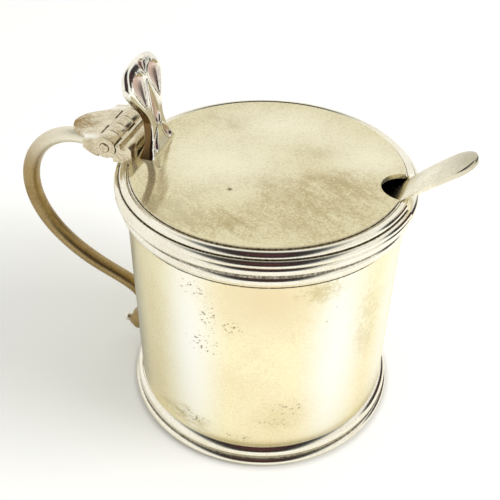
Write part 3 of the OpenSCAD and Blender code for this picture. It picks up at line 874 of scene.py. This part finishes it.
# %% Turn the lid's border
bead_r = 0.82 * mm
reed_r = 0.9 * mm
reed_gap = 0.25 * mm
reed_drop = 0.12 * mm
reed_start = 145
step_t = 0.06 * mm
step_drop = 0.02 * mm
inner_fade = 0.42 * mm
outer_fade = 0.60 * mm
reed_x = plate_r + reed_gap + reed_r
reed_z = lid_top - reed_drop - reed_r
reed_foot = reed_z + reed_r * math.sin(math.radians(reed_start))
step_x = plate_r + step_t
step_top = lid_top - step_drop
bead_x = lid_r - bead_r
sunk_x = reed_x + reed_r
bead_start = math.degrees(math.acos((sunk_x - bead_x) / bead_r))
bead_foot = lid_under + bead_r * math.sin(math.radians(bead_start))
inner_line = Vector((step_x, reed_foot))
outer_line = Vector((sunk_x, bead_foot))
border_outline = ([(plate_r, lid_under), (plate_r, step_top), (step_x, step_top), (step_x, reed_foot)]
                  + arc((reed_x, reed_z), reed_r, reed_start, 0, 20)
                  + arc((bead_x, lid_under), bead_r, bead_start, 0, 24))


def border_hollow(point):
    """1 in the two sunk lines of the border, and 0 beyond their fading sides."""
    here = Vector((math.hypot(point.x, point.y), point.z))
    from_inner = (here - inner_line).length / inner_fade
    from_outer = (here - outer_line).length / outer_fade
    return 1 - smooth(min(from_inner, from_outer))


border = carved(spun(border_outline), notch_cutter())
piece("lid_border_shape", border, "lid", wire_silver, {"hollow": border_hollow})

# %% [markdown]
# ## Handle
# The handle is a cast bar with a rounded section. It leaves the rim, runs out under the hinge bracket,
# swings round in an ear and comes straight down to the wall, where it swells into a tail that turns
# out again to a small ball. Four cubic curves give its middle line, so that it bends as smoothly as
# the casting does, and the section swells and thins along it.

# %% Lay out the handle's middle line
bar_up = 1.75 * mm
bar_side = 1.9 * mm
ball_r = 0.95 * mm
run_slope = math.radians(33)
fan_reach = 10.2 * mm
seat_depth = 0.7 * mm
rim_pull = 4 * mm
seat_pull = 6.8 * mm
top_pull = 13 * mm
run_pull = 7.8 * mm
wall_pull = 5.1 * mm
tail_pull = 5 * mm
ball_pull = 3 * mm
OUT = Vector((1, 0))
DOWN = Vector((0, -1))
barrel_r = highest("fixed_knuckle_near").z - hinge.z
bracket_under = hinge.z - barrel_r
ear_x = -lowest("handle").x - bar_up

# Points on the middle line, as (distance from the pot's axis, height)
rim_end = Vector((drum_r + 0.95 * mm, pot_h - bar_up - 0.15 * mm))
seat_end = Vector((-hinge.x + fan_reach, bracket_under + seat_depth - 0.9 * bar_up))
run_start = Vector((drum_r + 14.6 * mm, 22.9 * mm))
wall_end = Vector((drum_r + 0.8 * bar_up, 12.7 * mm))
ball = Vector((drum_r + 6.3 * mm, 5.7 * mm))
tail_way = Vector((6.0, 0.8)).normalized()
neck_r = 0.45 * bar_up
ball_start = math.asin(neck_r / ball_r)
tail_end = ball - tail_way * ball_r * math.cos(ball_start)
run_dir = Vector((-math.cos(run_slope), -math.sin(run_slope)))
# Halfway along its curve the ear reaches as far out as the solid does
ear_turn = (8 * ear_x - 4 * seat_end.x - 3 * top_pull - run_start.x) / 3
ear_pull = (ear_turn - run_start.x) / math.cos(run_slope)
bar_curves = [
    (rim_end, rim_end + OUT * rim_pull, seat_end - OUT * seat_pull, seat_end),
    (seat_end, seat_end + OUT * top_pull, run_start - run_dir * ear_pull, run_start),
    (run_start, run_start + run_dir * run_pull, wall_end - DOWN * wall_pull, wall_end),
    (wall_end, wall_end + DOWN * tail_pull, tail_end - tail_way * ball_pull, tail_end),
]


def cubic(p, t):
    return p[0] * (1 - t) ** 3 + p[1] * 3 * t * (1 - t) ** 2 + p[2] * 3 * t * t * (1 - t) + p[3] * t ** 3


def cubic_way(p, t):
    way = (p[1] - p[0]) * (1 - t) ** 2 + (p[2] - p[1]) * 2 * t * (1 - t) + (p[3] - p[2]) * t * t
    return way.normalized()


print("handle of", len(bar_curves), "curves, reaching %.1f mm from the wall" % ((ear_x - drum_r) / mm))

# %% Cast the handle
bar_squareness = 2.2
roundness = 2
tail_start = 3
curve_count = len(bar_curves)
# Share of the full section, by place along the curves
bar_shares = [
    (0, 0.9), (1, 0.9), (1.5, 1), (2.3, 0.9), (3, 0.95), (3.3, 1.25), (3.5, 1.45), (3.75, 1.35), (4, 0.5),
]


def stepped(pairs, at):
    """The value at a place along a list of (place, value) pairs, straight between them."""
    for (a, va), (b, vb) in zip(pairs, pairs[1:]):
        if at <= b:
            return va + (vb - va) * (at - a) / (b - a)
    return pairs[-1][1]


def squared(c, squareness):
    """A sine or cosine that walks round a squarer shape than a circle, which has a squareness of 2."""
    return math.copysign(abs(c) ** (2 / squareness), c)


def bar_place(along, round_):
    """A point on the bar: each curve takes an equal stretch of the grid, and the ball the last one."""
    s = along * (curve_count + 1)
    turn = math.tau * round_
    if s <= curve_count:
        index = min(int(s), curve_count - 1)
        centre = cubic(bar_curves[index], s - index)
        way = cubic_way(bar_curves[index], s - index)
        share = stepped(bar_shares, s)
        up = bar_up * share
        side = bar_side * share
        squareness = bar_squareness + (roundness - bar_squareness) * max(0, s - tail_start)
    else:
        swing = ball_start + (math.pi - ball_start) * (s - curve_count)
        centre = ball - tail_way * ball_r * math.cos(swing)
        way = tail_way
        up = side = ball_r * math.sin(swing)
        squareness = roundness
    over = Vector((-way.y, way.x)) * up * squared(math.sin(turn), squareness)
    aside = side * squared(math.cos(turn), squareness)
    return Vector((-centre.x - over.x, aside, centre.y + over.y))


def no_hollow(point):
    """The handle has no sunk lines, so its bends stay as bright as the rest of it."""
    return 0


bar = wrapped(bar_place, rows=300, sides=40)
piece("handle_shape", bar, "pot", handle_silver, {"hollow": no_hollow})

# %% [markdown]
# ## Hinge
# Five short tubes in a row turn on one wire. The outer and middle tubes belong to a fan-shaped
# bracket on the handle, the other two to a leaf on the lid. The tubes are turned outlines about the
# hinge axis. The bracket and the leaf are cut round where the other side's tubes turn past them.

# %% Turn the knuckles and the pin
ALONG_HINGE = Vector((0, 1, 0))
# Seats along the hinge, counted from the middle
knuckles = {
    "fixed_knuckle_near": -2, "lid_knuckle_near": -1, "fixed_knuckle_middle": 0,
    "lid_knuckle_far": 1, "fixed_knuckle_far": 2,
}
pin_play = 0.06 * mm
pin_dome = 0.25 * mm
knuckle_ease = 0.08 * mm
tube_steps = 64
hinge_half = highest("fixed_knuckle_far").y
pitch = 2 * hinge_half / len(knuckles)
knuckle_half = (highest("lid_knuckle_far").y - lowest("lid_knuckle_far").y) / 2
pin_r = highest("hinge_pin").z - hinge.z
pin_end = highest("hinge_pin").y
bore_r = pin_r + pin_play
for name, seat in knuckles.items():
    at = seat * pitch
    outline = eased_box(bore_r, barrel_r, at - knuckle_half, at + knuckle_half, knuckle_ease)
    tube = spun(outline, hinge, ALONG_HINGE, steps=tube_steps)
    body = "lid" if name.startswith("lid") else "pot"
    piece(name + "_shape", tube, body, hinge_silver)

pin_outline = ([(0, -pin_end)]
               + arc((pin_r - pin_dome, pin_dome - pin_end), pin_dome, -90, 0, 6)
               + arc((pin_r - pin_dome, pin_end - pin_dome), pin_dome, 0, 90, 6)
               + [(0, pin_end)])
pin = spun(pin_outline, hinge, ALONG_HINGE, closed=False, steps=tube_steps)
piece("hinge_pin_shape", pin, "pot", hinge_silver)

# %% Plan the bracket
fan_end_r = 5.2 * mm
fan_shoulder = 4.6 * mm
nose_angle = math.radians(45)
neck_share = 0.2
flare_share = 0.5
end_x = fan_reach - fan_end_r
reach_back = fan_shoulder - end_x
# The flare's arc starts at the shoulder and runs into the round end without a kink
flare_r = (reach_back ** 2 + hinge_half ** 2 - fan_end_r ** 2) / (2 * (fan_end_r - reach_back))
flare_x = fan_shoulder + flare_r
flare_turn = math.atan2(hinge_half, flare_x - end_x)
nose = barrel_r * math.sin(nose_angle)


def fan_plan(along):
    """Distance from the hinge and half width, along the fan from the barrel to its round end."""
    if along < neck_share:
        return nose + (fan_shoulder - nose) * along / neck_share, hinge_half
    if along < flare_share:
        swing = flare_turn * (along - neck_share) / (flare_share - neck_share)
        return flare_x - flare_r * math.cos(swing), hinge_half - flare_r * math.sin(swing)
    swing = flare_turn * (1 - (along - flare_share) / (1 - flare_share))
    return end_x + fan_end_r * math.cos(swing), fan_end_r * math.sin(swing)


print("bracket reaches %.1f mm from the hinge" % (fan_reach / mm))

# %% Cast the bracket
fan_t = 2.8 * mm
fan_soft = 0.2 * mm
under_rise = 2.0 * mm
meet_angle = math.radians(38)
cove_over = 1 * mm
leaf_play = 0.3 * mm
side_play = 0.12 * mm
soft_power = 6
soft_most = 0.5
cove_reach = fan_reach + cove_over
cove_run = cove_reach - barrel_r * math.cos(meet_angle)
cove_rise = barrel_r * math.sin(meet_angle) + barrel_r - fan_t
cove_big_r = (cove_run ** 2 + cove_rise ** 2) / (2 * cove_rise)
# Corners of a plate's section as (across, out), by share of the way round: two faces and two narrow sides
plate_stops = [(0, (-1, 1)), (0.4, (1, 1)), (0.5, (1, -1)), (0.9, (-1, -1)), (1, (-1, 1))]
plate_stops = [(at, Vector(corner)) for at, corner in plate_stops]


def plate_walk(round_, half, soft):
    """A walk round a plate's section with soft corners: across, and out from -1 behind to 1 at its face."""
    across, out = stepped(plate_stops, round_)
    return across * (1 - min(soft / max(half, soft), soft_most) * abs(out) ** soft_power), out


def fan_place(along, round_):
    """A point on the fan: its top falls from the barrel in a cove, and its underside is hollow."""
    out, half = fan_plan(along)
    across, up = plate_walk(round_, half, fan_soft)
    top = fan_t - barrel_r + cove_big_r - math.sqrt(cove_big_r ** 2 - (cove_reach - out) ** 2)
    under = -barrel_r + under_rise * smooth((out - nose) / fan_shoulder) * across ** 2
    return hinge + Vector((-out, half * across, (top + under) / 2 + up * (top - under) / 2))


def barrel_cutter(seats, play):
    """Short rods along the hinge, where the knuckles of the other side turn."""
    cutter = bmesh.new()
    lying = Matrix.Rotation(math.pi / 2, 4, "X")
    for seat in seats:
        place = Matrix.Translation(hinge + ALONG_HINGE * seat * pitch) @ lying
        bmesh.ops.create_cone(cutter, cap_ends=True, segments=tube_steps, radius1=barrel_r + play,
                              radius2=barrel_r + play, depth=pitch + side_play, matrix=place)
    return cutter


fan = carved(wrapped(fan_place, rows=120, sides=120), barrel_cutter((-1, 1), leaf_play))
piece("hinge_bracket_shape", fan, "pot", hinge_silver)

# %% Mill the leaf
leaf_reach = 5.7 * mm
leaf_sunk = 0.35 * mm
rail_angle = math.radians(45)
rail_gap = 0.45 * mm
rail_r = 0.4 * mm
rail_top = 1.25 * mm
trough_r = 0.5 * mm
trough_z = 0.55 * mm
lip_r = 1.1 * mm
lip_top = 1.0 * mm
lip_turn = 100
leaf_foot = lid_top - hinge.z - leaf_sunk
rail_in = barrel_r * math.cos(rail_angle)
rail_x = barrel_r + leaf_play + rail_gap
trough_x = rail_x + rail_r + trough_r
leaf_outline = ([(rail_in, leaf_foot), (leaf_reach, leaf_foot)]
                + arc((leaf_reach - lip_r, lip_top - lip_r), lip_r, 0, lip_turn)
                + arc((trough_x, trough_z), trough_r, 0, -180)
                + arc((rail_x, rail_top - rail_r), rail_r, 0, 180)
                + [(rail_in, rail_top - rail_r)])
leaf_corners = [(hinge.x + x, -hinge_half, hinge.z + z) for x, z in leaf_outline]
leaf = drawn(leaf_corners, ALONG_HINGE * 2 * hinge_half)
leaf = carved(leaf, barrel_cutter((-2, 0, 2), leaf_play))
piece("lid_leaf_shape", leaf, "lid", hinge_silver)

# %% [markdown]
# ## Thumbpiece
# The thumbpiece is a cast plate that stands on the lid in front of the leaf and leans back over the
# hinge. It is drawn in at a waist and opens into a fan with a low arch for its top. Sunk flutes with
# fine raised rims cover its face: one between fan and waist, two that spread in the fan, a short one
# at the crown and two at the foot. The flutes are part of the formula for its face, because a cut
# for each would leave hard edges.

# %% Draw the thumbpiece's outline
thumb_t = 2.0 * mm
thumb_gap = 1.0 * mm
thumb_lean = 3.2 * mm
lean_middle = 0.54
foot_half = 6.0 * mm
foot_power = 1.8
waist_h = 6.4 * mm
waist_half = 3.0 * mm
fan_h = 14.5 * mm
fan_half = 7.4 * mm
crown_h = 18.3 * mm
crown_drop = 1.1 * mm
corner_drop = 2.2 * mm
corner_power = 7
thumb_x = hinge.x + leaf_reach + thumb_gap + thumb_t / 2


def thumb_half(z):
    """Half width: a flared foot, a waist and a fan."""
    if z < waist_h:
        return waist_half + (foot_half - waist_half) * (1 - z / waist_h) ** foot_power
    return waist_half + (fan_half - waist_half) * smooth((z - waist_h) / (fan_h - waist_h))


def thumb_top(u):
    """Height of the top edge across the fan, from -1 to 1: a low arch with round corners."""
    return crown_h - crown_drop * u ** 2 - corner_drop * abs(u) ** corner_power


def thumb_lean_at(z):
    """How far the plate leans back at a height: upright at its foot, and more and more above."""
    t = z / crown_h
    return -thumb_lean * (3 * t * t * (1 - t) * lean_middle + t ** 3)


print("thumbpiece %.1f mm wide at its fan" % (2 * fan_half / mm))

# %% Sink the flutes
flute_depth = 0.75 * mm
flute_rim_h = 0.12 * mm
flute_rim_w = 0.5 * mm
flute_swell = 1.42
point_power = 0.75
end_power = 5
# Each flute has a pointed end and a round end, as (across, up) in mm, and a half width in mm
flutes = [
    ((0.0, 13.9), (0.0, 5.2), 1.25),
    ((-3.2, 10.2), (-3.6, 16.5), 2.3),
    ((3.2, 10.2), (3.6, 16.5), 2.3),
    ((0.0, 15.6), (0.0, 18.0), 1.25),
    ((-1.0, 4.6), (-3.8, 1.0), 0.8),
    ((1.0, 4.6), (3.8, 1.0), 0.8),
]


def flute_depth_at(point, end, half_w, y, z):
    """Depth from 0 at a flute's edge to 1, and the distance outside it in mm."""
    way = Vector(end) - Vector(point)
    arm = Vector((y, z)) - Vector(point)
    share = arm.dot(way) / way.length_squared
    inside = min(max(share, 0), 1)
    aside = abs(arm.x * way.y - arm.y * way.x) / way.length
    width = flute_swell * half_w * inside ** point_power * math.sqrt(1 - inside ** end_power)
    outside = math.hypot(max(aside - width, 0), (share - inside) * way.length)
    if outside > 0 or width == 0:
        return 0, outside
    return width / half_w * math.sqrt(1 - (aside / width) ** 2), 0


def thumb_relief(y, z):
    """How far the face stands forward of its plain surface."""
    reaches = [flute_depth_at(*flute, y / mm, z / mm) for flute in flutes]
    deep = max(depth for depth, _ in reaches)
    near = min(outside for _, outside in reaches) * mm
    rim = max(0, 1 - (2 * near / flute_rim_w - 1) ** 2)
    return rim * flute_rim_h - deep * flute_depth


print(len(flutes), "flutes, %.2f mm deep" % (flute_depth / mm))

# %% Cast the thumbpiece
heel_out = 0.9 * mm
heel_h = 2.2 * mm
toe_out = 0.6 * mm
toe_h = 2.4 * mm
thumb_soft = 0.3 * mm
roll_share = 0.1
# Where the painted dark reflection on the narrow sides begins and fades out
side_shade_start = 0.965
side_shade_fade = 0.025
side_shade_top = 10 * mm
side_shade_top_fade = 3 * mm


def thumb_place(along, round_):
    """A point on the casting: its face has the flutes and a toe, its back a heel, and its top rolls over."""
    u, front = plate_walk(round_, waist_half, thumb_soft)
    z = along * thumb_top(u)
    y = thumb_half(z) * u
    front *= math.sqrt(1 - max(0, (along - 1) / roll_share + 1) ** 2)
    x = thumb_x + thumb_lean_at(z) + thumb_t / 2 * front
    if front > 0:
        x += (thumb_relief(y, z) + toe_out * (1 - smooth(z / toe_h))) * front
    else:
        x += heel_out * (1 - smooth(z / heel_h)) * front
    return Vector((x, y, lid_top + z))


def flute_tarnish(point):
    """1 on the floors of the flutes, where a cloth doesn't reach, and 0 elsewhere."""
    z = point.z - lid_top
    if point.x < thumb_x + thumb_lean_at(z):
        return 0
    return max(flute_depth_at(*flute, point.y / mm, z / mm)[0] for flute in flutes)


def painted_side_shade(point):
    """1 on the plate's narrow sides below its fan, where a dark reflection is painted, and 0 elsewhere."""
    z = point.z - lid_top
    at_side = smooth((abs(point.y) / thumb_half(z) - side_shade_start) / side_shade_fade)
    return at_side * (1 - smooth((z - side_shade_top) / side_shade_top_fade))


# The third mark paints a dark reflection on the plate's narrow sides
marks = {"tarnish": flute_tarnish, "smoke": painted_side_shade}
thumbpiece = wrapped(thumb_place, rows=190, sides=280)
piece("thumbpiece_shape", thumbpiece, "lid", cast_silver, marks)

# %% [markdown]
# ## Spoon
# The spoon is hammered from one piece: a bowl, a neck, and a flat stem that bends outwards above the
# rim and ends in a round tip. Its section is a flat oval that is dished in the bowl. Wrapping one grid
# along a bent line makes all of it without a seam, as the hammer does.

# %% Bend the spoon's middle line
slide = Vector(joints["spoon_lift"]["axis"])
spoon_lean = math.atan2(slide.z, slide.x)
stem_end_lean = math.radians(31)
stem_out = 16.9 * mm
stem_w = 7.4 * mm
stem_half = 0.6 * mm
bowl_depth = 3.2 * mm
spoon_play = 0.25 * mm
wall_x = math.sqrt(inner_r ** 2 - stem_w ** 2 / 4)
stem_rim = Vector((wall_x - (stem_half + spoon_play) / math.sin(spoon_lean), pot_h))
bowl_tip_z = liner_floor + spoon_play + bowl_depth / 2
inner_len = (stem_rim.y - bowl_tip_z) / math.sin(spoon_lean)
spoon_len = inner_len + stem_out
stem_arc_r = stem_out / (spoon_lean - stem_end_lean)


def spoon_middle(s):
    """Middle line as (x, z) and its heading, by length from the bowl's tip: straight, then an arc."""
    if s <= inner_len:
        way = Vector((math.cos(spoon_lean), math.sin(spoon_lean)))
        return stem_rim - way * (inner_len - s), spoon_lean
    heading = spoon_lean + (stem_end_lean - spoon_lean) * (s - inner_len) / stem_out
    bend = Vector((math.sin(spoon_lean) - math.sin(heading), math.cos(heading) - math.cos(spoon_lean)))
    return stem_rim + stem_arc_r * bend, heading


print("spoon %.1f mm long" % (spoon_len / mm))

# %% Hammer the spoon
neck_w = 4.4 * mm
stem_end_len = 4.4 * mm
stem_squareness = 3
bowl_len = 20 * mm
bowl_w = 14 * mm
end_thickening = 1.1 * mm
thick_share = 0.6
tip_skip = 0.004


def spoon_place(along, round_):
    """A point on the spoon, by its share of the length and of the way round its section."""
    s = spoon_len * (tip_skip + (1 - tip_skip) * along)
    middle, heading = spoon_middle(s)
    round_bowl = math.sqrt(max(0, 1 - (s / bowl_len * 2 - 1) ** 2))
    stem = (neck_w + (stem_w - neck_w) * smooth((s - bowl_len) / (inner_len - bowl_len))) / 2
    tip = math.sqrt(max(0, 1 - (max(0, s - spoon_len + stem_end_len) / stem_end_len) ** 2))
    stem_on = smooth((s - bowl_len / 2) / (bowl_len / 2))
    half = math.hypot(bowl_w / 2 * round_bowl, stem * tip * stem_on)
    turn = math.tau * round_
    u = -math.cos(turn)
    face = squared(math.sin(turn), stem_squareness)
    under = stem_half + end_thickening * smooth((s - inner_len) / (thick_share * stem_out))
    thickness = stem_half if face > 0 else under
    lift = face * thickness * math.sqrt(tip) - bowl_depth * round_bowl * (1 - u * u)
    return Vector((middle.x - math.sin(heading) * lift, half * u, middle.y + math.cos(heading) * lift))


spoon = wrapped(spoon_place, rows=240, sides=72)
piece("spoon_shape", spoon, "spoon", spoon_silver)
